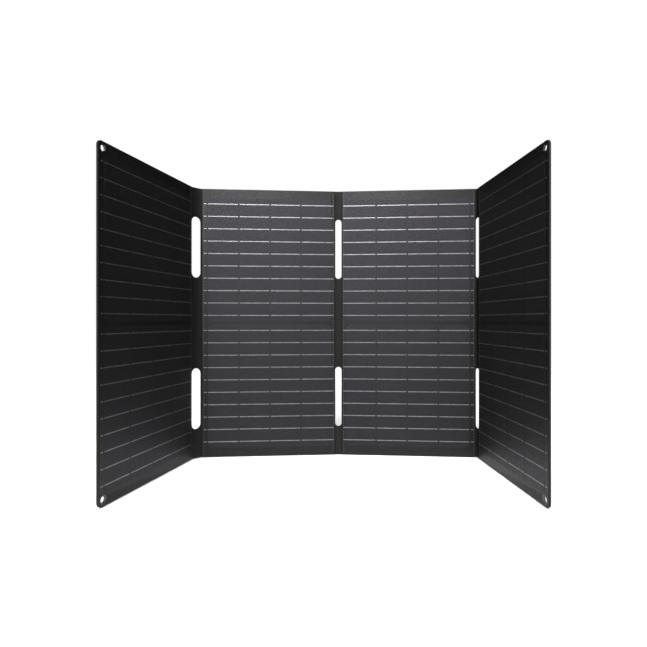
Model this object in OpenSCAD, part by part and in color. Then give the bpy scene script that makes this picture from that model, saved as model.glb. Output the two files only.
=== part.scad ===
// Four-panel folding solar panel, standing on its lower edges as a folding screen.
// Millimetres. +Z is up, the cells face -Y, and the origin is the middle of the
// footprint on the ground. Each panel is drawn flat in its own frame: X along the
// panel from the edge of its first cell, Y through it from front to back, Z up.

/* [Panels] */
// Height of every panel
panel_h = 396; // [392:1:410]
// Laminate beyond the first cell on a wing, out to its free edge
wing_tail = 9.5; // [9:0.5:14]
// Laminate beyond the first cell on a middle panel, out to its seam
center_tail = 7.7; // [7:0.1:9]
// Laminate beyond the last cell, out to the seam
head = 5; // [4.5:0.5:8]
// Corner radius at the free edge of a wing
corner_r = 6; // [2:0.5:7]

/* [Layers] */
// Cloth on the back
cover_t = 0.5; // [0.3:0.1:1]
// Stiffening board
board_t = 1.2; // [0.8:0.1:2]
// Clear laminate over the cells
film_t = 0.7; // [0.6:0.1:1.2]
// Cell
cell_t = 0.2; // [0.1:0.05:0.25]
// Ribbon on the cells
ribbon_t = 0.15; // [0.1:0.05:0.2]

/* [Cells] */
// Width of a cell, a quarter of a square wafer
cell_w = 45.5; // [44:0.5:46]
// Length of a cell, the whole side of the wafer
cell_l = 182; // [178:1:182]
// Gap between neighbouring cells
cell_gap = 0.5; // [0.4:0.1:0.8]
// Gap between the upper and the lower four cells
group_gap = 5.1; // [4:0.1:6]
// Cut corner of the wafer
wafer_chamfer = 5; // [2:0.5:7]
// Ribbons across each group of cells
ribbon_count = 10; // [6:1:10]
// Distance between ribbons
ribbon_pitch = 18.3; // [17:0.1:18.3]
// Width of a ribbon
ribbon_w = 1.3; // [1:0.1:2]
// Width of a bus bar, which joins the ends of the ribbons
bus_w = 2.5; // [2:0.1:2.7]

/* [Hinge strips] */
// Thickness of a cloth hinge strip
strip_t = 1.4; // [1.2:0.1:2]
// Left strip from the middle panel's seam to the fold
left_near = 7.5; // [5:0.1:10]
// Left strip from the fold to the wing's seam
left_far = 10.6; // [8:0.1:16]
// Left fold in front of the middle of the panels
left_lift = 3.7; // [2.4:0.1:5]
// Half the width of the middle strip
mid_half = 6.1; // [4:0.1:9]
// Middle fold behind the middle of the panels
mid_drop = 2; // [1.6:0.1:4]
// Right strip from the middle panel's seam to the fold
right_near = 1.6; // [1.5:0.1:6]
// Right strip from the fold to the wing's seam
right_far = 7; // [6:0.1:12]
// Right fold in front of the middle of the panels
right_lift = 1.9; // [1.9:0.1:4]
// Cloth left at each side of a slot
slot_side = 1.25; // [1:0.05:1.5]
// Cloth left between a left slot and the middle panel
left_slot_side = 2.9; // [1:0.1:3]
// Slot from the top or bottom edge
slot_inset = 42.5; // [30:0.5:60]
// Length of a slot
slot_l = 89; // [60:1:100]

/* [Rest pose] */
// Fold between the left wing and its neighbour
left_bend = 71; // [10:1:100]
// Fold between the two middle panels
mid_bend = 9; // [0:0.5:20]
// Fold between the right wing and its neighbour
right_bend = 81.5; // [10:0.5:100]

/* [Eyelets] */
// Bore of an eyelet
eyelet_r = 3; // [2:0.1:3]
// Outer radius of the flange and of the washer
flange_r = 5.25; // [5:0.05:5.5]
// Eyelet centre from the free edge
eyelet_side = 8.5; // [8:0.5:9]
// Eyelet centre from the top or bottom edge
eyelet_end = 7.5; // [7:0.5:8]

/* [Output box] */
// Middle of the box along the left wing
box_at = 104; // [80:1:110]
// Width of the box
box_w = 96; // [90:1:110]
// Height of the box
box_h = 64; // [60:1:80]
// Depth of the box
box_d = 16; // [16:0.5:18]
// Wall of the box
wall = 2; // [1.6:0.1:2.4]
// Width of the flap over the sockets
flap_w = 62; // [62:1:70]

/* [Hidden] */
$fn = 48;
LEFT_WING = 0;
CENTER_LEFT = 1;
CENTER_RIGHT = 2;
RIGHT_WING = 3;
PANELS = ["left_wing", "center_left", "center_right", "right_wing"];
LAYERS = ["cover", "board", "film", "cells", "ribbons", "bus_bars", "jumpers"];
STRIPS = ["left_wing_strip", "center_left_outer_strip", "center_left_inner_strip",
    "center_right_inner_strip", "center_right_outer_strip", "right_wing_strip"];
CORNERS = ["left_upper", "left_lower", "right_upper", "right_lower"];
BOX = ["box_base", "box_gasket", "box_cover", "box_screws", "circuit_board",
    "circuit_parts", "box_leads", "dc_socket", "usb_a_port", "usb_c_port",
    "indicator_lens", "port_flap", "flap_pin"];

// Levels through a panel
panel_t = cover_t + board_t + film_t;
front = -panel_t / 2;
board_front = front + film_t;
board_back = board_front + board_t;
back = panel_t / 2;
cell_front = board_front - cell_t;
cut_over = 0.1;

// Lengths along a panel
cell_pitch = cell_w + cell_gap;
field = 3 * cell_pitch + cell_w;
seam = field + head;
ribbon_over = 3.5;
tail_reach = 5.5;
tails = [wing_tail, center_tail, center_tail, wing_tail];
first_ribbon = group_gap / 2 + (cell_l - (ribbon_count - 1) * ribbon_pitch) / 2;

// Flat cables that cross the folds between the panels
tape_w = 8;
tape_t = 0.3;
tape_z = first_ribbon - 2;
tape_lap = 2.2;

// The two halves of a strip stop this far short of the fold
fold_clear = 0.3;
// Folded forward, the halves of the middle strip would meet in front of their fold, so each is cut back at this angle
mid_relief = 17;

// Places of the panels on the ground, worked outwards from the middle fold
function turn(p, a) = [p.x * cos(a) - p.y * sin(a), p.x * sin(a) + p.y * cos(a)];
yaw_cl = mid_bend / 2;
yaw_cr = yaw_cl - mid_bend;
yaw_lw = yaw_cl + left_bend;
yaw_rw = yaw_cr - right_bend;
at_cl = turn([-mid_half - seam, -mid_drop], yaw_cl);
at_cr = turn([mid_half + seam, -mid_drop], yaw_cr);
left_fold = at_cl + turn([-center_tail - left_near, -left_lift], yaw_cl);
right_fold = at_cr + turn([center_tail + right_near, -right_lift], yaw_cr);
at_lw = left_fold + turn([-left_far - seam, left_lift], yaw_lw);
at_rw = right_fold + turn([right_far + seam, right_lift], yaw_rw);
yaws = [yaw_lw, yaw_cl, yaw_cr, yaw_rw];

// Outermost points of the footprint, and its middle
eyelet_t = eyelet_side - wing_tail;
washer_t = 0.5;
flange_t = 0.6;
roll_t = 0.4;
roll_r = 4.4;
barrel_r = eyelet_r + 0.6;
edge = [[-wing_tail, front], [-wing_tail, back], [eyelet_t - roll_r, back + washer_t + roll_t],
    [eyelet_t - flange_r, back + washer_t], [eyelet_t - flange_r, front - flange_t / 2]];
outer = concat(
    [for (p = edge) at_lw + turn(p, yaw_lw)],
    [for (p = edge) at_rw + turn([-p.x, p.y], yaw_rw)],
    [at_cl + turn([seam, back], yaw_cl), at_cr + turn([-seam, back], yaw_cr)]);
xs = [for (p = outer) p.x];
ys = [for (p = outer) p.y];
middle = [(min(xs) + max(xs)) / 2, (min(ys) + max(ys)) / 2];
places = [at_lw - middle, at_cl - middle, at_cr - middle, at_rw - middle];

// Output box, measured outwards from the wing's back
box_z = panel_h / 2;
base_d = 6;
gasket_t = 1;
box_corner_r = 6;
boss_inset = 5;
boss_x = box_w / 2 - boss_inset;
boss_z = box_h / 2 - boss_inset;
boss_r = 3.6;
screw_r = 1.25;
screw_head_r = 2.6;
screw_head_t = 1.8;
pcb_at = 5.4;
pcb_t = 1.6;
pcb_top = pcb_at + pcb_t;
socket_r = 3.25;
socket_y = pcb_top + socket_r;
usb_c_y = pcb_top + 1.7;
socket_z = -box_h / 2;
dc_x = -20;
usb_a_x = 1;
usb_c_x = 21;
dc_bore_r = 2.75;
lead_r = 1;
lead_x = 12;

// Flap over the sockets, and its hinge at the outer edge of the box
flap_t = 1.8;
knuckle_r = 1.8;
flap_pin_r = 0.8;
flap_bore_r = 0.88;
ear_t = 3;
ear_r = 2.4;
ear_root = 3.6;
ear_gap = 0.3;
hinge_y = box_d - 2.6;
hinge_z = socket_z - 0.4 - knuckle_r;

BLACK = [0.07, 0.07, 0.08];
CLOTH = [0.13, 0.13, 0.12];
CELL = [0.16, 0.16, 0.18];
SILVER = [0.75, 0.75, 0.77];

// Puts a piece drawn in a panel's own frame into place; the right half is mirrored
module on_panel(i)
    translate([places[i].x, places[i].y, 0])
    rotate([0, 0, yaws[i]])
    mirrored(i)
    children();

module mirrored(i)
    if (i == LEFT_WING || i == CENTER_LEFT) children();
    else mirror([1, 0, 0]) children();

// Extrudes an outline drawn in X and Z from y0 back to y1
module slab(y0, y1)
    translate([0, y1, 0]) rotate([90, 0, 0]) linear_extrude(y1 - y0) children();

module round_rect(w, h, r) {
    translate([-w / 2 + r, -h / 2]) square([w - 2 * r, h]);
    translate([-w / 2, -h / 2 + r]) square([w, h - 2 * r]);
    for (x = [-1, 1])
        for (y = [-1, 1])
            translate([x * (w / 2 - r), y * (h / 2 - r)]) circle(r);
}

// ---- Panels ----

module panel_outline(i) {
    tail = tails[i];
    if (i == LEFT_WING || i == RIGHT_WING) {
        translate([-tail + corner_r, 0]) square([seam + tail - corner_r, panel_h]);
        translate([-tail, corner_r]) square([corner_r, panel_h - 2 * corner_r]);
        for (z = [corner_r, panel_h - corner_r])
            translate([-tail + corner_r, z]) circle(corner_r);
    } else {
        translate([-tail, 0]) square([seam + tail, panel_h]);
    }
}

module end_cell()
    polygon([[wafer_chamfer, 0], [cell_w, 0], [cell_w, cell_l], [wafer_chamfer, cell_l],
        [0, cell_l - wafer_chamfer], [0, wafer_chamfer]]);

// Four cells side by side, the outer two with the wafer's cut corners
module cell_group() {
    end_cell();
    for (k = [1, 2])
        translate([k * cell_pitch, 0]) square([cell_w, cell_l]);
    translate([field, 0]) mirror([1, 0]) end_cell();
}

module cell_outlines()
    for (z = [panel_h / 2 + group_gap / 2, panel_h / 2 - group_gap / 2 - cell_l])
        translate([0, z]) cell_group();

module ribbon_outlines()
    for (side = [-1, 1])
        for (k = [0:ribbon_count - 1])
            translate([-tail_reach, panel_h / 2 + side * (first_ribbon + k * ribbon_pitch) - ribbon_w / 2])
                square([tail_reach + field + ribbon_over, ribbon_w]);

module bus_outlines() {
    length = (ribbon_count - 1) * ribbon_pitch + 4;
    for (side = [-1, 1])
        for (x = [-tail_reach, field + ribbon_over - bus_w])
            translate([x, panel_h / 2 + side * (tape_z + length / 2) - length / 2])
                square([bus_w, length]);
}

module cell_layer() slab(cell_front, board_front) cell_outlines();
module ribbon_layer() slab(cell_front - ribbon_t, cell_front) ribbon_outlines();
module bus_layer() slab(cell_front, board_front) bus_outlines();

// A flat cable runs from the end bus bar to the fold, on each hinged side of a panel
module tape_run(x0, x1, y0)
    slab(y0, board_front + tape_t)
        for (side = [-1, 1])
            translate([x0, panel_h / 2 + side * (tape_z + tape_w / 2) - tape_w / 2])
                square([x1 - x0, tape_w]);

// What is in front of the middle fold, beyond the relief angle
module relief_wedge()
    translate([seam + mid_half - fold_clear, mid_drop, -1])
        rotate([0, 0, -mid_relief])
            translate([0, -10, 0]) cube([10, 10, panel_h + 2]);

module tapes(i, y0) {
    if (i == CENTER_LEFT || i == CENTER_RIGHT) {
        reach = (i == CENTER_LEFT) ? left_near : right_near;
        tape_run(-center_tail - reach + fold_clear, -tail_reach + tape_lap, y0);
        difference() {
            tape_run(field + ribbon_over - tape_lap, seam + mid_half - fold_clear, y0);
            relief_wedge();
        }
    }
    if (i == LEFT_WING || i == RIGHT_WING) {
        reach = (i == LEFT_WING) ? left_far : right_far;
        tape_run(field + ribbon_over - tape_lap, seam + reach - fold_clear, y0);
    }
}

module eyelet_holes(i)
    if (i == LEFT_WING || i == RIGHT_WING)
        for (z = [eyelet_end, panel_h - eyelet_end])
            translate([eyelet_t, front - 1, z])
                rotate([-90, 0, 0]) cylinder(r = barrel_r, h = panel_t + 2);

// The leads of the output box pass through the wing between the two groups of cells
module lead_holes(i)
    if (i == LEFT_WING)
        for (x = [-lead_x, lead_x])
            translate([box_at + x, board_front - cut_over, box_z])
                rotate([-90, 0, 0]) cylinder(r = lead_r, h = panel_t);

module panel_cover(i) color(CLOTH) on_panel(i) difference() {
    slab(board_back, back) panel_outline(i);
    eyelet_holes(i);
    lead_holes(i);
}

module panel_board(i) color("dimgray") on_panel(i) difference() {
    slab(board_front, board_back) panel_outline(i);
    eyelet_holes(i);
    lead_holes(i);
    tapes(i, board_front - cut_over);
}

module panel_film(i) color(BLACK) on_panel(i) difference() {
    slab(front, board_front) panel_outline(i);
    eyelet_holes(i);
    cell_layer();
    ribbon_layer();
    bus_layer();
}

module panel_cells(i) color(CELL) on_panel(i) cell_layer();

module panel_ribbons(i) color(SILVER) on_panel(i) ribbon_layer();

module panel_bus_bars(i) color(SILVER) on_panel(i) bus_layer();

module panel_jumpers(i) color("peru") on_panel(i) tapes(i, board_front);

// ---- Hinge strips ----

// Half of a strip, drawn outwards from its panel's seam, with its share of the slots.
// The cloth beside a slot is "own" wide at this panel and "other" wide at its neighbour.
module half_strip(reach, total, own, other) {
    r = (total - own - other) / 2;
    difference() {
        square([reach - fold_clear, panel_h]);
        for (z = [slot_inset, panel_h - slot_inset - slot_l]) {
            translate([own, z + r]) square([2 * r, slot_l - 2 * r]);
            for (end = [z + r, z + slot_l - r])
                translate([own + r, end]) circle(r);
        }
    }
}

module strip_at_tail(i, reach, total, own) color(CLOTH) on_panel(i) difference() {
    slab(-strip_t / 2, strip_t / 2)
        translate([-tails[i], 0]) mirror([1, 0]) half_strip(reach, total, own, slot_side);
    tapes(i, board_front);
}

module strip_at_head(i, reach, total, other) color(CLOTH) on_panel(i) difference() {
    slab(-strip_t / 2, strip_t / 2)
        translate([seam, 0]) half_strip(reach, total, slot_side, other);
    tapes(i, board_front);
    if (i == CENTER_LEFT || i == CENTER_RIGHT) relief_wedge();
}

module left_wing_strip() strip_at_head(LEFT_WING, left_far, left_near + left_far, left_slot_side);
module center_left_outer_strip() strip_at_tail(CENTER_LEFT, left_near, left_near + left_far, left_slot_side);
module center_left_inner_strip() strip_at_head(CENTER_LEFT, mid_half, 2 * mid_half, slot_side);
module center_right_inner_strip() strip_at_head(CENTER_RIGHT, mid_half, 2 * mid_half, slot_side);
module center_right_outer_strip() strip_at_tail(CENTER_RIGHT, right_near, right_near + right_far, slot_side);
module right_wing_strip() strip_at_head(RIGHT_WING, right_far, right_near + right_far, slot_side);

// ---- Eyelets ----

// The first two corners are on the left wing; even ones are the upper corners
module at_corner(c)
    on_panel(c < 2 ? LEFT_WING : RIGHT_WING)
    translate([eyelet_t, front, c % 2 == 0 ? panel_h - eyelet_end : eyelet_end])
    rotate([-90, 0, 0])
    children();

// Barrel with a flange in front, rolled over the washer behind
module eyelet(c) {
    bend = 0.3;
    washer_back = panel_t + washer_t;
    color("gainsboro") at_corner(c) rotate_extrude()
        polygon([[eyelet_r, -bend], [eyelet_r + bend, -flange_t], [flange_r - bend, -flange_t],
            [flange_r, -bend], [flange_r, 0], [barrel_r, 0], [barrel_r, washer_back],
            [roll_r, washer_back], [roll_r, washer_back + roll_t - bend],
            [roll_r - bend, washer_back + roll_t], [eyelet_r + bend, washer_back + roll_t],
            [eyelet_r, washer_back + roll_t - bend]]);
}

module washer(c) color("gainsboro") at_corner(c)
    translate([0, 0, panel_t]) difference() {
        cylinder(r = flange_r, h = washer_t);
        translate([0, 0, -1]) cylinder(r = barrel_r, h = washer_t + 2);
    }

// ---- Output box on the back of the left wing ----

module in_box() on_panel(LEFT_WING) translate([box_at, back, box_z]) children();

module at_bosses(y)
    for (x = [-boss_x, boss_x])
        for (z = [-boss_z, boss_z])
            translate([x, y, z]) rotate([-90, 0, 0]) children();

module box_ring(w)
    difference() {
        round_rect(box_w, box_h, box_corner_r);
        round_rect(box_w - 2 * w, box_h - 2 * w, box_corner_r - w);
    }

module box_base() color(BLACK) in_box() difference() {
    union() {
        slab(0, wall) round_rect(box_w, box_h, box_corner_r);
        slab(wall, base_d) box_ring(wall);
        at_bosses(wall) cylinder(r = boss_r, h = base_d - wall);
        for (x = [-26, 26])
            translate([x, wall, 0]) rotate([-90, 0, 0]) cylinder(r = 3, h = pcb_at - wall);
    }
    at_bosses(wall) cylinder(r = screw_r, h = base_d);
    for (x = [-lead_x, lead_x])
        translate([x, -1, 0]) rotate([-90, 0, 0]) cylinder(r = lead_r, h = wall + 2);
}

module box_gasket() color("darkslategray") in_box()
    slab(base_d, base_d + gasket_t) box_ring(wall);

// Openings for the sockets, in the frame of the box. The barrel socket's runs out at the rim of the cover.
module socket_cuts() {
    depth = wall + 2;
    notch_w = 1.6 * socket_r;
    translate([dc_x, socket_y, socket_z - 1]) cylinder(r = socket_r, h = depth);
    translate([dc_x - notch_w / 2, pcb_top - 1, socket_z - 1]) cube([notch_w, socket_r + 1, depth]);
    translate([usb_a_x - 7.25, pcb_top, socket_z - 1]) cube([14.5, 2 * socket_r, depth]);
    translate([usb_c_x - 4.6, usb_c_y - 1.7, socket_z - 1]) cube([9.2, 3.4, depth]);
}

module flap_ears()
    for (side = [-1, 1]) {
        x = side * (flap_w / 2 + ear_gap + ear_t / 2) - ear_t / 2;
        translate([x, hinge_y, hinge_z]) rotate([0, 90, 0]) cylinder(r = ear_r, h = ear_t);
        translate([x, hinge_y - ear_root / 2, hinge_z])
            cube([ear_t, ear_root, socket_z - hinge_z + 1]);
    }

module box_cover() color(BLACK) in_box() difference() {
    y0 = base_d + gasket_t;
    union() {
        slab(y0, box_d - wall) box_ring(wall);
        slab(box_d - wall, box_d) round_rect(box_w, box_h, box_corner_r);
        at_bosses(y0) cylinder(r = boss_r, h = box_d - wall - y0);
        flap_ears();
    }
    at_bosses(y0 - 1) cylinder(r = screw_r, h = box_d);
    at_bosses(box_d - screw_head_t) cylinder(r = screw_head_r, h = screw_head_t + 1);
    socket_cuts();
    translate([30, box_d - wall - 1, 20]) rotate([-90, 0, 0]) cylinder(r = 1.6, h = wall + 2);
    translate([-box_w / 2, hinge_y, hinge_z]) rotate([0, 90, 0]) cylinder(r = flap_pin_r, h = box_w);
}

module box_screws() color(SILVER) in_box() {
    slot_depth = 0.8;
    at_bosses(wall + 1) cylinder(r = screw_r, h = box_d - screw_head_t - wall - 1);
    difference() {
        at_bosses(box_d - screw_head_t) cylinder(r = screw_head_r, h = screw_head_t - 0.2);
        at_bosses(box_d - slot_depth) for (a = [0, 90])
            rotate([0, 0, a]) translate([-1.6, -0.35, -0.2]) cube([3.2, 0.7, 2]);
    }
}

// The corners are cut away round the screw bosses
module circuit_board() {
    notch = 10;
    w = box_w - 2 * wall - 2;
    h = box_h - 2 * wall - 2;
    color("darkgreen") in_box() slab(pcb_at, pcb_at + pcb_t) {
        square([w, h - 2 * notch], center = true);
        square([w - 2 * notch, h], center = true);
    }
}

// Two bypass diodes, a coil, two capacitors and the regulator
module circuit_parts() color("dimgray") in_box() {
    for (x = [-30, -18])
        translate([x, pcb_top, 8]) cube([8, 2.5, 6]);
    translate([4, pcb_top, 12]) rotate([-90, 0, 0]) difference() {
        cylinder(r = 6.5, h = 5);
        translate([0, 0, -1]) cylinder(r = 2.5, h = 7);
    }
    for (x = [18, 28])
        translate([x, pcb_top, 6]) rotate([-90, 0, 0]) cylinder(r = 3.5, h = 6.5);
    translate([-6, pcb_top, -8]) cube([9, 1.4, 9]);
}

module box_leads() color("firebrick") in_box()
    for (x = [-lead_x, lead_x])
        translate([x, board_front - back, 0])
            rotate([-90, 0, 0]) cylinder(r = lead_r, h = pcb_at + back - board_front);

// Barrel socket with its centre pin, opening downwards
module dc_socket() color("black") in_box() translate([dc_x, socket_y, socket_z]) {
    depth = 12;
    difference() {
        cylinder(r = socket_r, h = depth);
        translate([0, 0, -1]) cylinder(r = dc_bore_r, h = depth - 1);
    }
    translate([0, 0, 1]) cylinder(r = 1, h = depth - 2);
}

module usb_a_port() color(SILVER) in_box() translate([usb_a_x, socket_y, socket_z]) {
    depth = 14;
    difference() {
        translate([-7.25, -socket_r, 0]) cube([14.5, 2 * socket_r, depth]);
        translate([-6.6, -2.6, -1]) cube([13.2, 5.2, depth]);
    }
    translate([-5.6, 0.4, 1]) cube([11.2, 1.6, depth - 1.8]);
}

module usb_c_port() color(SILVER) in_box() translate([usb_c_x, usb_c_y, socket_z]) {
    depth = 9;
    difference() {
        translate([-4.6, -1.7, 0]) cube([9.2, 3.4, depth]);
        translate([-4.1, -1.2, -1]) cube([8.2, 2.4, depth]);
    }
    translate([-3.3, -0.35, 1]) cube([6.6, 0.7, depth - 1.8]);
}

module indicator_lens() color("limegreen") in_box()
    translate([30, box_d - wall, 20]) rotate([-90, 0, 0]) cylinder(r = 1.6, h = wall + 0.4);

// Closed at rest; it hinges down and out on a pin held by the two ears
module port_flap() color(BLACK) in_box() difference() {
    flap_y = 1.5;
    union() {
        translate([-flap_w / 2, hinge_y, hinge_z]) rotate([0, 90, 0]) cylinder(r = knuckle_r, h = flap_w);
        translate([-flap_w / 2, flap_y, hinge_z]) cube([flap_w, hinge_y - flap_y, flap_t]);
        translate([-8, flap_y, hinge_z - 1.4]) cube([16, 1.6, 1.6]);
    }
    translate([-flap_w, hinge_y, hinge_z]) rotate([0, 90, 0]) cylinder(r = flap_bore_r, h = 2 * flap_w);
}

module flap_pin() color(SILVER) in_box() {
    length = flap_w + 2 * ear_gap + 2 * ear_t;
    translate([-length / 2, hinge_y, hinge_z]) rotate([0, 90, 0]) cylinder(r = flap_pin_r, h = length);
}

for (i = [0:3]) panel_cover(i);
for (i = [0:3]) panel_board(i);
for (i = [0:3]) panel_film(i);
for (i = [0:3]) panel_cells(i);
for (i = [0:3]) panel_ribbons(i);
for (i = [0:3]) panel_bus_bars(i);
for (i = [0:3]) panel_jumpers(i);
left_wing_strip();
center_left_outer_strip();
center_left_inner_strip();
center_right_inner_strip();
center_right_outer_strip();
right_wing_strip();
for (c = [0:3]) eyelet(c);
for (c = [0:3]) washer(c);
box_base();
box_gasket();
box_cover();
box_screws();
circuit_board();
circuit_parts();
box_leads();
dc_socket();
usb_a_port();
usb_c_port();
indicator_lens();
port_flap();
flap_pin();
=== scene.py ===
"""Folding solar panel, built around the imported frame.

Each panel has a frame of its own: t runs from its first cell towards its head, d runs into its back and z
runs up. Lengths in panel frames are in millimetres, and everything in Blender is in metres.
"""

import math

import bmesh
import bpy
from mathutils import Matrix, Vector


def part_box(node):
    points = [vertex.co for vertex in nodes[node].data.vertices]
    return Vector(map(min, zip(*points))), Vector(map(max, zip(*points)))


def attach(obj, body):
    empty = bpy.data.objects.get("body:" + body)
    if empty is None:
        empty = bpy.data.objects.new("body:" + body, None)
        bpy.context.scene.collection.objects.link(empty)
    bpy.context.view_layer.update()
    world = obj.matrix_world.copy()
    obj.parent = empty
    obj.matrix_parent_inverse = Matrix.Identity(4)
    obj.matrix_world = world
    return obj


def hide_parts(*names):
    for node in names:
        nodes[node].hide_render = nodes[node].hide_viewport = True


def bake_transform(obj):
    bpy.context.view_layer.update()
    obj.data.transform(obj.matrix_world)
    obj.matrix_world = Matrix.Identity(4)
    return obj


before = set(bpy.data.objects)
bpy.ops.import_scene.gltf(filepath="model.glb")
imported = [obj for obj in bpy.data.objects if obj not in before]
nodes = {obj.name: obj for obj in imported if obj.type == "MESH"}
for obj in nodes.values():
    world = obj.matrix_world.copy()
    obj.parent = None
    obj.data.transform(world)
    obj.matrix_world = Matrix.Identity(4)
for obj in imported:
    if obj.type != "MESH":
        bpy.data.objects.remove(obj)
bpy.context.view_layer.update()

MM = 0.001
SAME_POINT = 0.001

# Layers of a panel, and the film's texture
CLOTH_T = 0.5
CELL_PROUD = 0.09
CELL_SUNK = 0.1
CELL_CHAMFER = 0.06
RIBBON_PROUD = 0.07
RIBBON_SUNK = 0.05
RIBBON_CHAMFER = 0.05
EDGE_ROUND = 0.3
CLOTH_ROUND = 0.2
EMBOSS_PITCH = 1.9
EMBOSS_ROW = 1.25
FINGER_PITCH = 1.3

# Cells and ribbons
CELL_W = 45.5
CELL_L = 182.0
CELL_GAP = 0.5
GROUP_GAP = 5.1
WAFER_CHAMFER = 5.0
CELL_PITCH = CELL_W + CELL_GAP
FIELD = 3 * CELL_PITCH + CELL_W
RIBBON_COUNT = 10
RIBBON_PITCH = 18.3
RIBBON_W = 1.15
RIBBON_BREAK = 2.4
RIBBON_TAIL = (-5.5, -1.4)
RIBBON_END = 187.0

# Corners, eyelets and stitches
CORNER_R = 6.0
HOLE_R = 4.5
EYELET_THROAT = 3.1
EYELET_LIP = 4.3
EYELET_FLANGE = 5.3
EYELET_PROUD = 0.3
EYELET_ROLL = 0.4
EYELET_SEAT = 0.05
STITCH_PITCH = 4.4
STITCH_L = 3.1
STITCH_W = 0.55
STITCH_H = 0.34
STITCH_DIP = 0.25
SEAM_MARGIN = 2.0
SEAM_INSET = 2.1

# Hinge strips
SLOT_SIDE = 1.25
LEFT_SLOT_SIDE = 2.9
SLOT_INSET = 42.5
SLOT_L = 89.0
STRIP_HALF_T = 0.65
STRIP_PINCH = 0.15
PINCH_W = 1.5
STRIP_TUCK = 0.5
STRIP_ROUND = 0.25
PATH_STEPS = 400
STRIP_WEAVE = 0.7

# Light from all round the studio, against its white backdrop
ROOM_LIGHT = 0.04


# ---- Panel frames ----


def facing(node):
    """The normal of the node's widest face, turned to the front."""
    normal = max(node.data.polygons, key=lambda p: p.area).normal.copy()
    normal.z = 0
    normal.normalize()
    return normal if normal.y < 0 else -normal


class Panel:
    """A panel's frame and its extent, read from its CAD nodes."""

    def __init__(self, name, side):
        self.name = name
        self.side = side
        self.d_axis = -facing(nodes[name + "_cells"])
        self.x_axis = Vector((self.d_axis.y, -self.d_axis.x, 0))
        self.t_axis = self.x_axis * side
        first_cell = self.span("cells", self.t_axis)[0]
        tail, head = self.span("film", self.t_axis)
        film_front = self.span("film", self.d_axis)[0]
        cloth_back = self.span("cover", self.d_axis)[1]
        middle = (film_front + cloth_back) / 2
        self.origin = (self.t_axis * first_cell + self.d_axis * middle) * MM
        self.tail = tail - first_cell
        self.head = head - first_cell
        self.front = film_front - middle
        self.back = cloth_back - middle
        self.cloth_front = self.back - CLOTH_T
        self.height = self.span("film", Vector((0, 0, 1)))[1]
        self.wing = name.endswith("wing")

    def span(self, layer, axis):
        """How far a layer of this panel reaches along an axis, in millimetres."""
        reach = [v.co.dot(axis) / MM for v in nodes[f"{self.name}_{layer}"].data.vertices]
        return min(reach), max(reach)

    def matrix(self):
        yaw = math.atan2(self.x_axis.y, self.x_axis.x)
        return Matrix.Translation(self.origin) @ Matrix.Rotation(yaw, 4, "Z")

    def world(self, t, d, z):
        return self.origin + (self.t_axis * t + self.d_axis * d + Vector((0, 0, z))) * MM

    def local(self, point):
        """(t, d, z) of a point in metres."""
        offset = (point - self.origin) / MM
        return offset.dot(self.t_axis), offset.dot(self.d_axis), point.z / MM


# ---- Mesh making ----


def make_object(name, verts, faces, look, scale=1.0):
    mesh = bpy.data.meshes.new(name)
    mesh.from_pydata([tuple(c * scale for c in v) for v in verts], [], faces)
    mesh.validate()
    mesh.materials.append(look)
    obj = bpy.data.objects.new(name, mesh)
    bpy.context.collection.objects.link(obj)
    return obj


def put_on_panel(panel, name, shape, look):
    """An object from vertices (t, d, z) and faces, placed on a panel. The right half is mirrored."""
    verts, faces = shape
    flipped = [(panel.side * t, d, z) for t, d, z in verts]
    wound = [tuple(reversed(f)) if panel.side < 0 else tuple(f) for f in faces]
    obj = make_object(name, flipped, wound, look, MM)
    obj.matrix_world = panel.matrix()
    return obj


def join_shapes(shapes):
    verts, faces = [], []
    for some_verts, some_faces in shapes:
        base = len(verts)
        verts += some_verts
        faces += [tuple(i + base for i in f) for f in some_faces]
    return verts, faces


def shade(obj, angle=40):
    """Smooth shading, with creases sharper than the angle kept."""
    obj.data.shade_smooth()
    obj.data.set_sharp_from_angle(angle=math.radians(angle))


def apply_modifiers(obj):
    graph = bpy.context.evaluated_depsgraph_get()
    mesh = bpy.data.meshes.new_from_object(obj.evaluated_get(graph))
    obj.modifiers.clear()
    old = obj.data
    obj.data = mesh
    bpy.data.meshes.remove(old)


def plate(loops, d0, d1, edge):
    """A flat plate with rounded edges, from d0 back to d1.

    The first loop of (t, z) is its outline, and the rest are holes.
    """
    curve = bpy.data.curves.new("plate", "CURVE")
    curve.dimensions = "2D"
    curve.fill_mode = "BOTH"
    curve.extrude = (d1 - d0) / 2 - edge
    curve.bevel_depth = edge
    curve.bevel_resolution = 2
    curve.offset = -edge
    for loop in loops:
        spline = curve.splines.new("POLY")
        spline.points.add(len(loop) - 1)
        spline.use_cyclic_u = True
        for point, (t, z) in zip(spline.points, loop):
            point.co = (t, z, 0, 1)
    obj = bpy.data.objects.new("plate", curve)
    bpy.context.collection.objects.link(obj)
    graph = bpy.context.evaluated_depsgraph_get()
    mesh = bpy.data.meshes.new_from_object(obj.evaluated_get(graph))
    bm = bmesh.new()
    bm.from_mesh(mesh)
    bmesh.ops.remove_doubles(bm, verts=bm.verts, dist=SAME_POINT)
    bmesh.ops.recalc_face_normals(bm, faces=bm.faces)
    middle = (d0 + d1) / 2
    verts = [(v.co.x, middle - v.co.z, v.co.y) for v in bm.verts]
    faces = [tuple(v.index for v in f.verts) for f in bm.faces]
    bm.free()
    bpy.data.objects.remove(obj)
    bpy.data.curves.remove(curve)
    bpy.data.meshes.remove(mesh)
    return verts, faces


def arc(t, z, r, start, end, steps):
    angles = [math.radians(start + (end - start) * i / steps) for i in range(steps + 1)]
    return [(t + r * math.cos(a), z + r * math.sin(a)) for a in angles]


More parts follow.
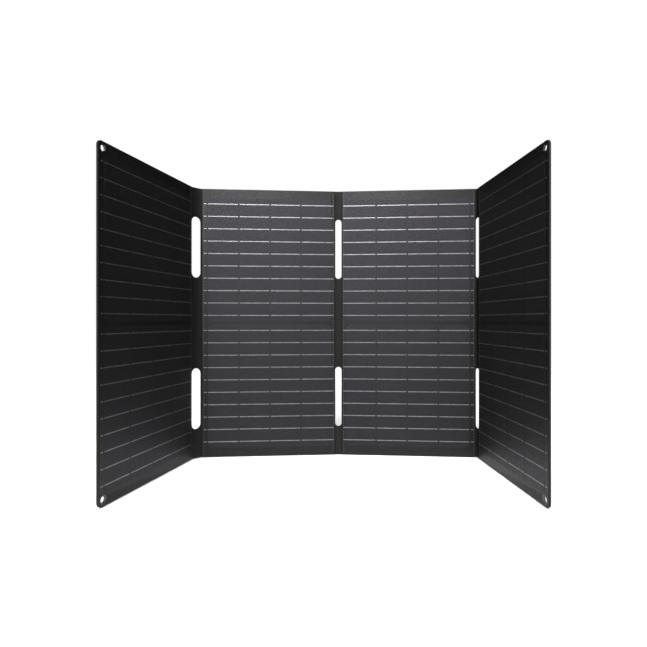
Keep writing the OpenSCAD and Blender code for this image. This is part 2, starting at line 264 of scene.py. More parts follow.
def slab(t0, t1, d0, d1, z0, z1, edge):
    """A box whose front edges are chamfered, as (verts, faces)."""
    verts = [(t, d1, z) for z in (z0, z1) for t in (t0, t1)]
    verts += [(t, d0 + edge, z) for z in (z0, z1) for t in (t0, t1)]
    inner_t = (t0 + edge, t1 - edge)
    inner_z = (z0 + edge, z1 - edge)
    verts += [(t, d0, z) for z in inner_z for t in inner_t]
    faces = [(0, 2, 3, 1), (8, 9, 11, 10)]
    for level in (0, 4):
        for a, b in ((0, 1), (1, 3), (3, 2), (2, 0)):
            faces.append((level + a, level + b, level + 4 + b, level + 4 + a))
    return verts, faces


# ---- Panels ----


def panel_outline(panel):
    """Outline of a panel. A wing's free edge has round corners."""
    tail, head, top = panel.tail, panel.head, panel.height
    if not panel.wing:
        return [(tail, 0), (head, 0), (head, top), (tail, top)]
    inner = tail + CORNER_R
    corners = arc(inner, top - CORNER_R, CORNER_R, 90, 180, 10)
    corners += arc(inner, CORNER_R, CORNER_R, 180, 270, 10)
    return [(head, 0), (head, top)] + corners


def eyelet_places(panel):
    """(t, z) of the eyelets of a panel, lower one first."""
    if not panel.wing:
        return []
    places = []
    for level in ("lower", "upper"):
        low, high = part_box(f"{panel.name.split('_')[0]}_{level}_eyelet")
        t, _, z = panel.local((low + high) / 2)
        places.append((t, z))
    return places


def panel_loops(panel):
    holes = [arc(t, z, HOLE_R, 0, 350, 35) for t, z in eyelet_places(panel)]
    return [panel_outline(panel)] + holes


def make_laminate(panel, looks):
    """Film and board as one body. Its cut edges are the board's colour."""
    shape = plate(panel_loops(panel), panel.front, panel.cloth_front, EDGE_ROUND)
    obj = put_on_panel(panel, panel.name + "_laminate", shape, looks["film"])
    obj.data.materials.append(looks["edge"])
    for face in obj.data.polygons:
        face.material_index = 0 if abs(face.normal.y) > 0.8 else 1
    shade(obj, 20)
    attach(obj, panel.name)
    layers = ("film", "board", "bus_bars", "jumpers")
    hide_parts(*[f"{panel.name}_{layer}" for layer in layers])


def make_back_cloth(panel, looks):
    shape = plate(panel_loops(panel), panel.cloth_front, panel.back, CLOTH_ROUND)
    obj = put_on_panel(panel, panel.name + "_back_cloth", shape, looks["back_cloth"])
    shade(obj, 20)
    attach(obj, panel.name)
    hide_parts(panel.name + "_cover")


def end_cell_outline(bottom):
    """Outline of the first cell of a group, with the wafer's cut corners."""
    top = bottom + CELL_L
    cut = WAFER_CHAMFER
    return [(cut, bottom), (CELL_W, bottom), (CELL_W, top), (cut, top), (0, top - cut), (0, bottom + cut)]


def prism(outline, d0, d1, edge):
    """A flat prism with a chamfer round its front, as (verts, faces).

    The outline is convex and runs anticlockwise.
    """
    count = len(outline)
    middle_t = sum(p[0] for p in outline) / count
    middle_z = sum(p[1] for p in outline) / count
    drawn_in = [
        (t - math.copysign(edge, t - middle_t), z - math.copysign(edge, z - middle_z)) for t, z in outline
    ]
    verts = [(t, d1, z) for t, z in outline]
    verts += [(t, d0 + edge, z) for t, z in outline]
    verts += [(t, d0, z) for t, z in drawn_in]
    faces = [tuple(reversed(range(count))), tuple(range(2 * count, 3 * count))]
    for level in (0, count):
        for i in range(count):
            j = (i + 1) % count
            faces.append((level + i, level + j, level + count + j, level + count + i))
    return verts, faces


def make_cells(panel, looks):
    """Eight narrow cells in two groups of four. The outer two of a group have the wafer's cut corners."""
    d0 = panel.front - CELL_PROUD
    d1 = panel.front + CELL_SUNK
    shapes = []
    for bottom in (panel.height / 2 - GROUP_GAP / 2 - CELL_L, panel.height / 2 + GROUP_GAP / 2):
        first = end_cell_outline(bottom)
        last = [(FIELD - t, z) for t, z in reversed(first)]
        shapes += [prism(outline, d0, d1, CELL_CHAMFER) for outline in (first, last)]
        for k in (1, 2):
            t0 = k * CELL_PITCH
            shapes.append(slab(t0, t0 + CELL_W, d0, d1, bottom, bottom + CELL_L, CELL_CHAMFER))
    obj = put_on_panel(panel, panel.name + "_cell_plates", join_shapes(shapes), looks["cell"])
    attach(obj, panel.name)
    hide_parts(panel.name + "_cells")


def ribbon_heights(panel):
    first = GROUP_GAP / 2 + (CELL_L - (RIBBON_COUNT - 1) * RIBBON_PITCH) / 2
    offsets = [first + k * RIBBON_PITCH for k in range(RIBBON_COUNT)]
    return [panel.height / 2 + side * offset for side in (-1, 1) for offset in offsets]


def ribbon_dashes():
    """(start, end) of what shows of a ribbon, in t: it dips under at each gap between cells."""
    gap = RIBBON_BREAK / 2
    starts = [k * CELL_PITCH - CELL_GAP / 2 + gap for k in range(4)]
    ends = [k * CELL_PITCH - CELL_GAP / 2 - gap for k in (1, 2, 3)] + [RIBBON_END]
    return [RIBBON_TAIL] + list(zip(starts, ends))


def make_ribbons(panel, looks):
    d0 = panel.front - CELL_PROUD - RIBBON_PROUD
    d1 = panel.front + RIBBON_SUNK
    half = RIBBON_W / 2
    shapes = []
    for z in ribbon_heights(panel):
        for t0, t1 in ribbon_dashes():
            shapes.append(slab(t0, t1, d0, d1, z - half, z + half, RIBBON_CHAMFER))
    obj = put_on_panel(panel, panel.name + "_ribbon_dashes", join_shapes(shapes), looks["ribbon"])
    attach(obj, panel.name)
    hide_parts(panel.name + "_ribbons")


# ---- Stitches ----


def stitch_shape():
    """One stitch lying along z, as rings of points (across, out, along) from 0 to 1."""
    around, rings = 8, 6
    verts = [(0.0, -STITCH_DIP, 0.0)]
    for r in range(1, rings):
        fullness = math.sin(math.pi * r / rings) ** 0.6
        for a in range(around):
            turn = 2 * math.pi * a / around
            across = fullness * math.cos(turn) / 2
            out = fullness * (math.sin(turn) + 1) / 2 - STITCH_DIP
            verts.append((across, out, r / rings))
    verts.append((0.0, -STITCH_DIP, 1.0))
    last = len(verts) - 1
    faces = [(0, 1 + (a + 1) % around, 1 + a) for a in range(around)]
    for r in range(rings - 2):
        for a in range(around):
            b = (a + 1) % around
            low, high = 1 + r * around, 1 + (r + 1) * around
            faces.append((low + a, low + b, high + b, high + a))
    top = 1 + (rings - 2) * around
    faces += [(last, top + a, top + (a + 1) % around) for a in range(around)]
    return verts, faces


def seam(t, surface, outward, height):
    """Stitches in a straight line up a panel. Outward is -1 on the front and 1 on the back."""
    unit, unit_faces = stitch_shape()
    count = int((height - 2 * SEAM_MARGIN) / STITCH_PITCH)
    start = (height - count * STITCH_PITCH) / 2
    shapes = []
    for i in range(count):
        z = start + i * STITCH_PITCH
        verts = [
            (t + STITCH_W * across, surface + outward * STITCH_H * out, z + STITCH_L * along)
            for across, out, along in unit
        ]
        faces = unit_faces if outward > 0 else [tuple(reversed(f)) for f in unit_faces]
        shapes.append((verts, faces))
    return join_shapes(shapes)


def make_seams(panel, looks):
    """A seam beside each hinge strip, seen from the front and from the back."""
    lines = [panel.head - SEAM_INSET]
    if not panel.wing:
        lines.append(panel.tail + SEAM_INSET)
    shapes = []
    for t in lines:
        shapes.append(seam(t, panel.front, -1, panel.height))
        shapes.append(seam(t, panel.back, 1, panel.height))
    obj = put_on_panel(panel, panel.name + "_stitches", join_shapes(shapes), looks["thread"])
    shade(obj, 60)
    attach(obj, panel.name)


# ---- Hinge strips ----


def bezier(p0, p1, p2, p3, u):
    v = 1 - u
    return p0 * v**3 + p1 * (3 * v * v * u) + p2 * (3 * v * u * u) + p3 * u**3


class StripPath:
    """The line that a strip follows between two panels, seen from above, in metres."""

    def __init__(self, start, start_out, end, end_out, start_pull, end_pull):
        start_handle = start + start_out * start_pull * MM
        end_handle = end + end_out * end_pull * MM
        points = [bezier(start, start_handle, end_handle, end, i / PATH_STEPS) for i in range(PATH_STEPS + 1)]
        tuck = STRIP_TUCK * MM
        points = [start - start_out * tuck] + points + [end - end_out * tuck]
        self.points = points
        self.lengths = [0.0]
        for a, b in zip(points, points[1:]):
            self.lengths.append(self.lengths[-1] + (b - a).length)
        self.width = self.lengths[-1] / MM

    def at(self, s):
        """Point and forward direction at s millimetres along the line."""
        goal = min(max(s * MM, 0), self.lengths[-1])
        i = 0
        while i < len(self.lengths) - 2 and self.lengths[i + 1] < goal:
            i += 1
        step = self.points[i + 1] - self.points[i]
        share = (goal - self.lengths[i]) / (self.lengths[i + 1] - self.lengths[i])
        return self.points[i] + step * share, step.normalized()


def strip_columns(width, slot):
    """Places across a strip, closer together beside the seams and round the slots' ends."""
    beside, over = 4, 20
    middle, half = (slot[0] + slot[1]) / 2, (slot[1] - slot[0]) / 2
    near = [STRIP_TUCK + (slot[0] - STRIP_TUCK) * i / beside for i in range(1, beside + 1)]
    near = [0, STRIP_TUCK] + near
    far_side = width - STRIP_TUCK
    far = [far_side - (far_side - slot[1]) * i / beside for i in range(1, beside + 1)]
    across = [middle - half * math.cos(math.pi * i / over) for i in range(1, over)]
    return near + across + far[::-1] + [far_side, width]


def slot_limits(s, slot, bottom):
    """Lowest and highest z of a slot at s across the strip."""
    radius = (slot[1] - slot[0]) / 2
    off = min(abs(s - (slot[0] + slot[1]) / 2), radius)
    rise = math.sqrt(max(radius * radius - off * off, 0))
    return bottom + radius - rise, bottom + SLOT_L - radius + rise


def strip_rows(s, slot, height):
    """Heights of the grid's rows at s, and the numbers of the rows that start inside a slot."""
    low0, low1 = slot_limits(s, slot, SLOT_INSET)
    high0, high1 = slot_limits(s, slot, height - SLOT_INSET - SLOT_L)
    stops = [0, low0, low1, high0, high1, height]
    steps = [8, 14, 24, 14, 8]
    heights, open_rows = [0.0], set()
    for band, count in enumerate(steps):
        for i in range(count):
            if band in (1, 3):
                open_rows.add(len(heights) - 1)
            heights.append(stops[band] + (stops[band + 1] - stops[band]) * (i + 1) / count)
    return heights, open_rows


def half_thickness(s, width):
    """The cloth is pressed thin where it runs in between the layers of a panel."""
    depth = min(s, width - s) - STRIP_TUCK
    share = min(max(depth / PINCH_W, 0), 1)
    share = share * share * (3 - 2 * share)
    return STRIP_PINCH + (STRIP_HALF_T - STRIP_PINCH) * share


def strip_mesh(path, slot, height):
    """A strip with two slots, closed all round: vertices in metres, faces and two charts.

    The first chart is (s, z), and the second is (way in from the nearer side, 0).
    """
    width = path.width
    columns = strip_columns(width, slot)
    front, back, flat, seam_depth = [], [], [], []
    for s in columns:
        point, along = path.at(s)
        normal = Vector((along.y, -along.x, 0)) * half_thickness(s, width) * MM
        heights, open_rows = strip_rows(s, slot, height)
        for z in heights:
            up = Vector((0, 0, z * MM))
            front.append(point + normal + up)
            back.append(point - normal + up)
            flat.append((s * MM, z * MM))
            seam_depth.append((min(s, width - s) * MM, 0))
    rows = len(heights)
    quads = []
    for c in range(len(columns) - 1):
        inside = columns[c] > slot[0] - 1e-6 and columns[c + 1] < slot[1] + 1e-6
        for r in range(rows - 1):
            if inside and r in open_rows:
                continue
            a, b = c * rows + r, (c + 1) * rows + r
            quads.append((a, b, b + 1, a + 1))
    used = {}
    for quad in quads:
        for i, j in zip(quad, quad[1:] + quad[:1]):
            used[(i, j)] = True
    count = len(front)
    faces = list(quads) + [tuple(i + count for i in reversed(q)) for q in quads]
    faces += [(j, i, i + count, j + count) for i, j in used if (j, i) not in used]
    return front + back, faces, flat + flat, seam_depth + seam_depth


def make_strip(name, path, sides, panels, looks, removed):
    """Sides are how much cloth is left beside a slot, at each panel."""
    height = panels[0].height
    slot = (STRIP_TUCK + sides[0], path.width - STRIP_TUCK - sides[1])
    verts, faces, flat, seam_depth = strip_mesh(path, slot, height)
    obj = make_object(name, verts, faces, looks["strip_cloth"])
    bm = bmesh.new()
    bm.from_mesh(obj.data)
    for name, places in (("cloth", flat), ("seam", seam_depth)):
        chart = bm.loops.layers.uv.new(name)
        for face in bm.faces:
            for loop in face.loops:
                loop[chart].uv = places[loop.vert.index]
    bmesh.ops.delete(bm, geom=[v for v in bm.verts if not v.link_faces], context="VERTS")
    bmesh.ops.recalc_face_normals(bm, faces=bm.faces)
    bm.to_mesh(obj.data)
    bm.free()
    rounding = obj.modifiers.new("rounding", "BEVEL")
    rounding.width = STRIP_ROUND * MM
    rounding.segments = 2
    rounding.limit_method = "ANGLE"
    rounding.angle_limit = math.radians(50)
    apply_modifiers(obj)
    shade(obj, 50)
    start, end = path.at(STRIP_TUCK)[0], path.at(path.width - STRIP_TUCK)[0]
    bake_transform(obj)
    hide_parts(*removed)


def make_strips(panels, looks):
    left, center_left = panels["left_wing"], panels["center_left"]
    center_right, right = panels["center_right"], panels["right_wing"]
    path = StripPath(
        center_left.world(center_left.tail, 0, 0), -center_left.t_axis,
        left.world(left.head, 0, 0), left.t_axis, 3.5, 2.5,
    )
    make_strip("left_hinge_cloth", path, (LEFT_SLOT_SIDE, SLOT_SIDE), (center_left, left), looks,
               ("left_wing_strip", "center_left_outer_strip"))
    path = StripPath(
        center_left.world(center_left.head, 0, 0), center_left.t_axis,
        center_right.world(center_right.head, 0, 0), center_right.t_axis, 4.0, 4.0,
    )
    make_strip("middle_hinge_cloth", path, (SLOT_SIDE, SLOT_SIDE), (center_left, center_right), looks,
               ("center_left_inner_strip", "center_right_inner_strip"))
    path = StripPath(
        center_right.world(center_right.tail, 0, 0), -center_right.t_axis,
        right.world(right.head, 0, 0), right.t_axis, 3.0, 6.0,
    )
    make_strip("right_hinge_cloth", path, (SLOT_SIDE, SLOT_SIDE), (center_right, right), looks,
               ("right_wing_strip", "center_right_outer_strip"))


# ---- Eyelets ----


def lathe(profile, steps):
    """A ring turned about the d axis from a closed profile of (radius, d)."""
    verts, faces = [], []
    count = len(profile)
    for i in range(steps):
        turn = 2 * math.pi * i / steps
        verts += [(r * math.cos(turn), d, r * math.sin(turn)) for r, d in profile]
        for k in range(count):
            n = (k + 1) % count
            j = (i + 1) % steps
            faces.append((i * count + k, i * count + n, j * count + n, j * count + k))
    return verts, faces


def eyelet_profile(panel):
    """The tube flares at both ends into a low rolled flange, so its hole is narrowest half way through."""
    middle = (panel.front + panel.back) / 2
    reach = (panel.back - panel.front) / 2
    tube = []
    for i in range(-8, 9):
        share = i / 8
        radius = EYELET_THROAT + (EYELET_LIP - EYELET_THROAT) * abs(share) ** 2.2
        tube.append((radius, middle + share * (reach + EYELET_PROUD)))
    seats = panel.back - EYELET_SEAT, panel.front + EYELET_SEAT
    wall = HOLE_R - EYELET_SEAT
    rolled = EYELET_FLANGE - EYELET_ROLL
    back = [(rolled, panel.back + EYELET_PROUD), (EYELET_FLANGE, seats[0]), (wall, seats[0])]
    front = [(wall, seats[1]), (EYELET_FLANGE, seats[1]), (rolled, panel.front - EYELET_PROUD)]
    return tube + back + front


def make_eyelets(panel, looks):
    side = panel.name.split("_")[0]
    for level, (t0, z0) in zip(("lower", "upper"), eyelet_places(panel)):
        verts, faces = lathe(eyelet_profile(panel), 56)
        moved = [(t + t0, d, z + z0) for t, d, z in verts]
        obj = put_on_panel(panel, f"{side}_{level}_grommet", (moved, faces), looks["gunmetal"])
        bm = bmesh.new()
        bm.from_mesh(obj.data)
        bmesh.ops.recalc_face_normals(bm, faces=bm.faces)
        bm.to_mesh(obj.data)
        bm.free()
        shade(obj, 50)
        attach(obj, panel.name)
        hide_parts(f"{side}_{level}_eyelet", f"{side}_{level}_washer")


# ---- Materials ----


class Look:
    """A material being made. node() adds a node and wires or sets its inputs."""

    def __init__(self, name):
        self.material = bpy.data.materials.new(name)
        self.material.use_nodes = True
        self.tree = self.material.node_tree
        self.shader = self.tree.nodes["Principled BSDF"]

    def feed(self, socket, value):
        if isinstance(value, bpy.types.NodeSocket):
            self.tree.links.new(value, socket)
        else:
            socket.default_value = value

    def node(self, kind, inputs, output, **settings):
        made = self.tree.nodes.new("ShaderNode" + kind)
        for key, value in settings.items():
            setattr(made, key, value)
        for key, value in inputs.items():
            self.feed(made.inputs[key], value)
        return made.outputs[output]

    def math(self, operation, a, b=0.0, clamp=False):
        return self.node("Math", {0: a, 1: b}, 0, operation=operation, use_clamp=clamp)

    def place(self):
        """Object coordinates: a panel's pieces keep its own frame, so x runs along it and z up it."""
        return self.node("TexCoord", {}, "Object")

    def chart(self, name):
        return self.node("UVMap", {}, "UV", uv_map=name)

    def split(self, vector):
        made = self.tree.nodes.new("ShaderNodeSeparateXYZ")
        self.tree.links.new(vector, made.inputs[0])
        return made.outputs

    def noise(self, vector, scale, detail=2.0, roughness=0.5):
        inputs = {"Vector": vector, "Scale": scale, "Detail": detail, "Roughness": roughness}
        return self.node("TexNoise", inputs, 0)

    def mix(self, share, a, b):
        return self.node("Mix", {"Factor": share, 6: a, 7: b}, 2, data_type="RGBA")

    def spread(self, value, low, high):
        """Maps 0 to 1 onto low to high."""
        return self.node("MapRange", {0: value, 3: low, 4: high}, 0, clamp=True)

    def stretch(self, value, low, high):
        """Maps low to high onto 0 to 1."""
        return self.node("MapRange", {0: value, 1: low, 2: high}, 0, clamp=True)

    def bump(self, height, distance, strength):
        inputs = {"Strength": strength, "Distance": distance, "Height": height}
        return self.node("Bump", inputs, 0)

    def set(self, **inputs):
        for key, value in inputs.items():
            self.feed(self.shader.inputs[key.replace("_", " ")], value)


def rgb(red, green, blue):
    """Linear colour from display values 0 to 255."""
    def linear(c):
        c /= 255
        return c / 12.92 if c <= 0.04045 else ((c + 0.055) / 1.055) ** 2.4
    return (linear(red), linear(green), linear(blue), 1.0)


def emboss(look):
    """Height of the film's emboss, from 0 to 1: short dimples in staggered rows, each a little uneven."""
    x, _, z = look.split(look.place())
    rows = look.math("DIVIDE", z, EMBOSS_ROW * MM)
    shift = look.math("MULTIPLY", look.math("FLOOR", rows), 0.5)
    along = look.math("ADD", look.math("DIVIDE", x, EMBOSS_PITCH * MM), shift)
    across = look.math("ABSOLUTE", look.math("SINE", look.math("MULTIPLY", rows, math.pi)))
    down = look.math("ABSOLUTE", look.math("SINE", look.math("MULTIPLY", along, math.pi)))
    dimple = look.node("CombineXYZ", {0: look.math("FLOOR", along), 1: look.math("FLOOR", rows)}, 0)
    depth = look.spread(look.node("TexWhiteNoise", {"Vector": dimple}, "Value"), 0.35, 1.0)
    return look.math("MULTIPLY", look.math("MULTIPLY", across, down), depth)


def weave(look, x, z, pitch):
    """Height of a plain weave, from 0 to 1: each square shows a rounded thread of one way or the other."""
    u = look.math("DIVIDE", x, pitch)
    v = look.math("DIVIDE", z, pitch)
    warp = look.math("ABSOLUTE", look.math("SINE", look.math("MULTIPLY", u, math.pi)))
    weft = look.math("ABSOLUTE", look.math("SINE", look.math("MULTIPLY", v, math.pi)))
    total = look.math("ADD", look.math("FLOOR", u), look.math("FLOOR", v))
    odd = look.math("PINGPONG", total, 1.0)
    over = look.math("MULTIPLY", warp, odd)
    under = look.math("MULTIPLY", weft, look.math("SUBTRACT", 1.0, odd))
    return look.math("ADD", over, under)


def film_texture(look):
    """The film's grain, from 0 to 1, and its normal."""
    grain = look.stretch(look.noise(look.place(), 520, 3, 0.75), 0.3, 0.7)
    height = look.math("ADD", look.math("MULTIPLY", emboss(look), 0.5), grain)
    return grain, look.bump(height, 0.14 * MM, 0.9)


def film_look():
    """The film over the board, a little greener than over the cells."""
    look = Look("film")
    cloudy = look.noise(look.place(), 35, 3)
    grain, normal = film_texture(look)
    tone = look.math("ADD", look.math("MULTIPLY", cloudy, 0.3), look.math("MULTIPLY", grain, 0.6))
    look.set(
        Base_Color=look.mix(tone, rgb(6, 7, 6), rgb(17, 18, 16)),
        Roughness=look.spread(grain, 0.6, 0.4),
        Specular_IOR_Level=0.24,
        Specular_Tint=(1.0, 0.99, 1.03, 1.0),
        Normal=normal,
    )
    return look.material


def cell_look():
    """Dark silicon under the film: each cell a shade of its own, with faint upright fingers."""
    look = Look("cell")
    place = look.place()
    x, _, z = look.split(place)
    column = look.math("FLOOR", look.math("DIVIDE", x, CELL_PITCH * MM))
    row = look.math("FLOOR", look.math("DIVIDE", z, (CELL_L + GROUP_GAP) * MM))
    cell = look.node("CombineXYZ", {0: column, 1: row}, 0)
    tone = look.node("TexWhiteNoise", {"Vector": cell}, "Value")
    cloudy = look.noise(place, 60, 3)
    grain, normal = film_texture(look)
    share = look.math("ADD", look.math("MULTIPLY", tone, 0.2), look.math("MULTIPLY", cloudy, 0.2))
    share = look.math("ADD", share, look.math("MULTIPLY", grain, 0.6))
    silicon = look.mix(share, rgb(6, 6, 6), rgb(24, 24, 23))
    ridge = look.math("ABSOLUTE", look.math("SINE", look.math("MULTIPLY", x, math.pi / (FINGER_PITCH * MM))))
    finger = look.math("GREATER_THAN", 0.16, ridge)
    look.set(
        Base_Color=look.mix(look.math("MULTIPLY", finger, 0.3), silicon, rgb(54, 54, 58)),
        Roughness=look.spread(grain, 0.62, 0.38),
        Specular_IOR_Level=0.24,
        Specular_Tint=(1.0, 0.96, 1.12, 1.0),
        Normal=normal,
    )
    return look.material


def ribbon_look():
    """Tinned copper seen through the film."""
    look = Look("ribbon")
    place = look.place()
    streaks = look.noise(place, 240, 3)
    dull = look.mix(look.spread(streaks, 0.0, 1.0), rgb(84, 84, 85), rgb(140, 140, 141))
    look.set(
        Base_Color=dull,
        Metallic=0.85,
        Roughness=look.spread(streaks, 0.3, 0.5),
        Normal=look.bump(streaks, 0.04 * MM, 0.5),
    )
    return look.material


def edge_look():
    """Cut edge of the laminate: glass-fibre board between dark layers."""
    look = Look("laminate_edge")
    place = look.place()
    _, y, _ = look.split(place)
    layers = look.math("ABSOLUTE", look.math("SINE", look.math("MULTIPLY", y, math.pi / (0.6 * MM))))
    fibres = look.noise(place, 700, 3)
    share = look.math("MULTIPLY", layers, fibres)
    look.set(
        Base_Color=look.mix(share, rgb(12, 12, 12), rgb(30, 30, 30)),
        Roughness=look.spread(fibres, 0.5, 0.75),
        Specular_IOR_Level=0.25,
        Normal=look.bump(fibres, 0.06 * MM, 0.6),
    )
    return look.material


def cloth_look(name, dark, light, pitch):
    """Woven polyester, with a slight sheen and uneven threads."""
    look = Look(name)
    place = look.place()
    x, _, z = look.split(place)
    threads = weave(look, x, z, pitch)
    uneven = look.noise(place, 1400, 2)
    patches = look.noise(place, 30, 3)
    share = look.math("ADD", look.math("MULTIPLY", threads, 0.6), look.math("MULTIPLY", uneven, 0.3))
    share = look.math("ADD", share, look.math("MULTIPLY", patches, 0.25), clamp=True)
    height = look.math("ADD", threads, look.math("MULTIPLY", uneven, 0.35))
    look.set(
        Base_Color=look.mix(share, dark, light),
        Roughness=look.spread(threads, 0.85, 0.68),
        Sheen_Weight=0.12,
        Sheen_Roughness=0.5,
        Specular_IOR_Level=0.3,
        Normal=look.bump(height, 0.14 * MM, 0.8),
    )
    return look.material


def strip_look():
    """Coated weave that shines a little, with painted shade: near black in a band beside each seam."""
    look = Look("strip_cloth")
    x, z, _ = look.split(look.chart("cloth"))
    threads = weave(look, x, z, STRIP_WEAVE * MM)
    grain = look.stretch(look.noise(look.place(), 520, 3, 0.75), 0.3, 0.7)
    share = look.math("ADD", look.math("MULTIPLY", threads, 0.45), look.math("MULTIPLY", grain, 0.55))
    cloth = look.mix(share, rgb(1, 1, 1), rgb(10, 10, 9))
    way_in, _, _ = look.split(look.chart("seam"))
    # Painted shade: within about 1.3 to 1.7 mm of where the cloth comes out of a panel, the colour goes to
    # rgb(2, 2, 2). This stands in for the shadow in the groove at the seam.
    clear = look.stretch(way_in, (STRIP_TUCK + 1.3) * MM, (STRIP_TUCK + 1.7) * MM)
    height = look.math("ADD", threads, grain)
    look.set(
        Base_Color=look.mix(clear, rgb(2, 2, 2), cloth),
        Roughness=look.spread(look.math("MULTIPLY", share, clear), 0.7, 0.26),
        Specular_IOR_Level=0.22,
        Normal=look.bump(height, 0.14 * MM, 0.8),
    )
    return look.material


def thread_look():
    look = Look("thread")
    place = look.place()
    _, _, z = look.split(place)
    twist = look.math("SINE", look.math("MULTIPLY", z, 2 * math.pi / (0.45 * MM)))
    wear = look.noise(place, 300, 2)
    look.set(
        Base_Color=look.mix(wear, rgb(46, 46, 47), rgb(84, 84, 85)),
        Roughness=0.6,
        Sheen_Weight=0.2,
        Normal=look.bump(twist, 0.05 * MM, 0.6),
    )
    return look.material


def metal_look(name, dark, light, rough):
    """Plated or steel metal, with fine scratches and duller patches."""
    look = Look(name)
    place = look.place()
    patches = look.noise(place, 120, 4)
    scratches = look.noise(place, 400, 5, 0.7)
    look.set(
        Base_Color=look.mix(patches, dark, light),
        Metallic=1.0,
        Roughness=look.spread(patches, rough - 0.06, rough + 0.12),
        Normal=look.bump(scratches, 0.03 * MM, 0.4),
    )
    return look.material


def plastic_look(name, dark, light, rough, grain_depth=0.06):
    """Moulded plastic with a fine spark-eroded grain, a little glossier where it is handled."""
    look = Look(name)
    place = look.place()
    grain = look.noise(place, 1500, 3, 0.6)
    handled = look.noise(place, 40, 3)
    look.set(
        Base_Color=look.mix(handled, dark, light),
        Roughness=look.spread(handled, rough - 0.07, rough + 0.08),
        Normal=look.bump(grain, grain_depth * MM, 0.6),
    )
    return look.material


def lens_look():
    look = Look("lens")
    place = look.place()
    facets = look.noise(place, 600, 2)
    look.set(
        Base_Color=look.mix(facets, rgb(60, 190, 90), rgb(110, 230, 130)),
        Roughness=0.15,
        Coat_Weight=0.6,
        Coat_Roughness=0.05,
        Normal=look.bump(facets, 0.04 * MM, 0.3),
    )
    return look.material


def circuit_look():
    """Green solder mask with copper tracks under it."""
    look = Look("circuit_board")
    place = look.place()
    inputs = {"Vector": place, "Scale": 260.0}
    tracks = look.node("TexVoronoi", inputs, "Distance", feature="DISTANCE_TO_EDGE", distance="MANHATTAN")
    line = look.math("LESS_THAN", tracks, 0.08)
    grain = look.noise(place, 800, 2)
    look.set(
        Base_Color=look.mix(line, rgb(20, 66, 44), rgb(38, 104, 66)),
        Roughness=look.spread(grain, 0.25, 0.4),
        Normal=look.bump(line, 0.03 * MM, 0.5),
    )
    return look.material


def make_looks():
    return {
        "film": film_look(),
        "cell": cell_look(),
        "ribbon": ribbon_look(),
        "edge": edge_look(),
        "back_cloth": cloth_look("back_cloth", rgb(26, 27, 28), rgb(54, 55, 56), 0.62 * MM),
        "strip_cloth": strip_look(),
        "thread": thread_look(),
        "gunmetal": metal_look("gunmetal", rgb(66, 66, 68), rgb(104, 104, 108), 0.32),
        "steel": metal_look("screw_steel", rgb(150, 150, 152), rgb(200, 200, 204), 0.28),
        "plastic": plastic_look("box_plastic", rgb(26, 26, 28), rgb(38, 38, 40), 0.5),
        "chip": plastic_look("chip_plastic", rgb(22, 22, 24), rgb(44, 44, 46), 0.42),
        "seal": plastic_look("seal", rgb(34, 36, 38), rgb(56, 58, 60), 0.72, 0.03),
        "lead": plastic_look("lead", rgb(120, 24, 22), rgb(168, 36, 30), 0.45, 0.02),
        "circuit": circuit_look(),
        "lens": lens_look(),
    }


# ---- Output box, which keeps its CAD shapes ----


BOX_ROUND = 0.45
BOX_LOOKS = {
    "box_base": "plastic",
    "box_gasket": "seal",
    "box_cover": "plastic",
    "box_screws": "steel",
    "circuit_board": "circuit",
    "circuit_parts": "chip",
    "box_leads": "lead",
    "dc_socket": "chip",
    "usb_a_port": "steel",
    "usb_c_port": "steel",
    "indicator_lens": "lens",
    "port_flap": "plastic",
    "flap_pin": "steel",
}


def dress_box(looks):
    for name, look in BOX_LOOKS.items():
        node = nodes[name]
        node.data.materials.clear()
        node.data.materials.append(looks[look])
    for name in ("box_base", "box_cover", "port_flap"):
        weld = nodes[name].modifiers.new("weld", "WELD")
        weld.merge_threshold = 0.005 * MM
        rounding = nodes[name].modifiers.new("rounding", "BEVEL")
        rounding.width = BOX_ROUND * MM
        rounding.segments = 3
        rounding.limit_method = "ANGLE"
        rounding.angle_limit = math.radians(50)
        rounding.use_clamp_overlap = True
        rounding.harden_normals = False


# ---- Stage ----


def make_camera():
    data = bpy.data.cameras.new("camera")
    data.sensor_width = 36
    data.lens = 27.854
    data.shift_y = -0.0048
    data.clip_start = 0.01
    camera = bpy.data.objects.new("camera", data)
    camera.location = (-0.00014, -0.6452, 0.2017)
    camera.rotation_euler = (math.radians(90), 0, 0)
    bpy.context.collection.objects.link(camera)
    bpy.context.scene.camera = camera


def make_floor():
    look = Look("floor")
    speckle = look.noise(look.place(), 40, 2)
    look.set(Base_Color=look.mix(speckle, rgb(247, 247, 247), rgb(251, 251, 251)), Roughness=0.9)
    size, below = 8.0, -0.001
    corners = [(-size, -size, below), (size, -size, below), (size, size, below), (-size, size, below)]
    floor = make_object("floor", corners, [(0, 1, 2, 3)], look.material)


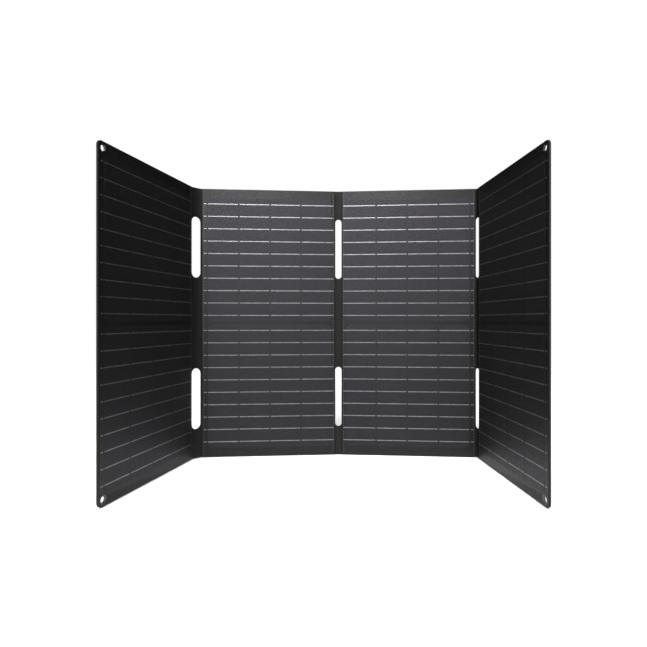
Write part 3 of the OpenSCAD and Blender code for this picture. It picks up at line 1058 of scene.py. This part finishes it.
def softbox(place, target, size, power, spread):
    """A square light with a grid in front, which keeps its beam off most of the floor."""
    data = bpy.data.lights.new("softbox", "AREA")
    data.shape = "SQUARE"
    data.size = size
    data.energy = power
    data.spread = math.radians(spread)
    light = bpy.data.objects.new("softbox", data)
    light.location = place
    light.rotation_euler = (Vector(target) - Vector(place)).to_track_quat("-Z", "Y").to_euler()
    bpy.context.collection.objects.link(light)


def make_lights():
    world = bpy.data.worlds.new("studio")
    world.use_nodes = True
    tree = world.node_tree
    white = tree.nodes["Background"]
    white.inputs["Color"].default_value = (1.0, 1.0, 1.0, 1.0)
    dim = tree.nodes.new("ShaderNodeBackground")
    dim.inputs["Color"].default_value = (1.0, 1.0, 1.0, 1.0)
    dim.inputs["Strength"].default_value = ROOM_LIGHT
    seen = tree.nodes.new("ShaderNodeLightPath")
    either = tree.nodes.new("ShaderNodeMixShader")
    tree.links.new(seen.outputs["Is Camera Ray"], either.inputs[0])
    tree.links.new(dim.outputs[0], either.inputs[1])
    tree.links.new(white.outputs[0], either.inputs[2])
    tree.links.new(either.outputs[0], tree.nodes["World Output"].inputs[0])
    bpy.context.scene.world = world
    softbox((-0.15, -1.5, 1.15), (0, 0.1, 0.37), 0.85, 5.2, 50)
    sun = bpy.data.lights.new("overhead", "SUN")
    sun.energy = 3.85
    sun.angle = math.radians(35)
    lamp = bpy.data.objects.new("overhead", sun)
    lamp.rotation_euler = Vector((0.1, 0.45, -0.9)).to_track_quat("-Z", "Y").to_euler()
    bpy.context.collection.objects.link(lamp)
    bpy.context.scene.view_settings.view_transform = "Standard"


def build():
    looks = make_looks()
    sides = {"left_wing": 1, "center_left": 1, "center_right": -1, "right_wing": -1}
    panels = {name: Panel(name, side) for name, side in sides.items()}
    for panel in panels.values():
        make_laminate(panel, looks)
        make_back_cloth(panel, looks)
        make_cells(panel, looks)
        make_ribbons(panel, looks)
        make_seams(panel, looks)
        if panel.wing:
            make_eyelets(panel, looks)
    make_strips(panels, looks)
    dress_box(looks)
    make_camera()
    make_floor()
    make_lights()


build()
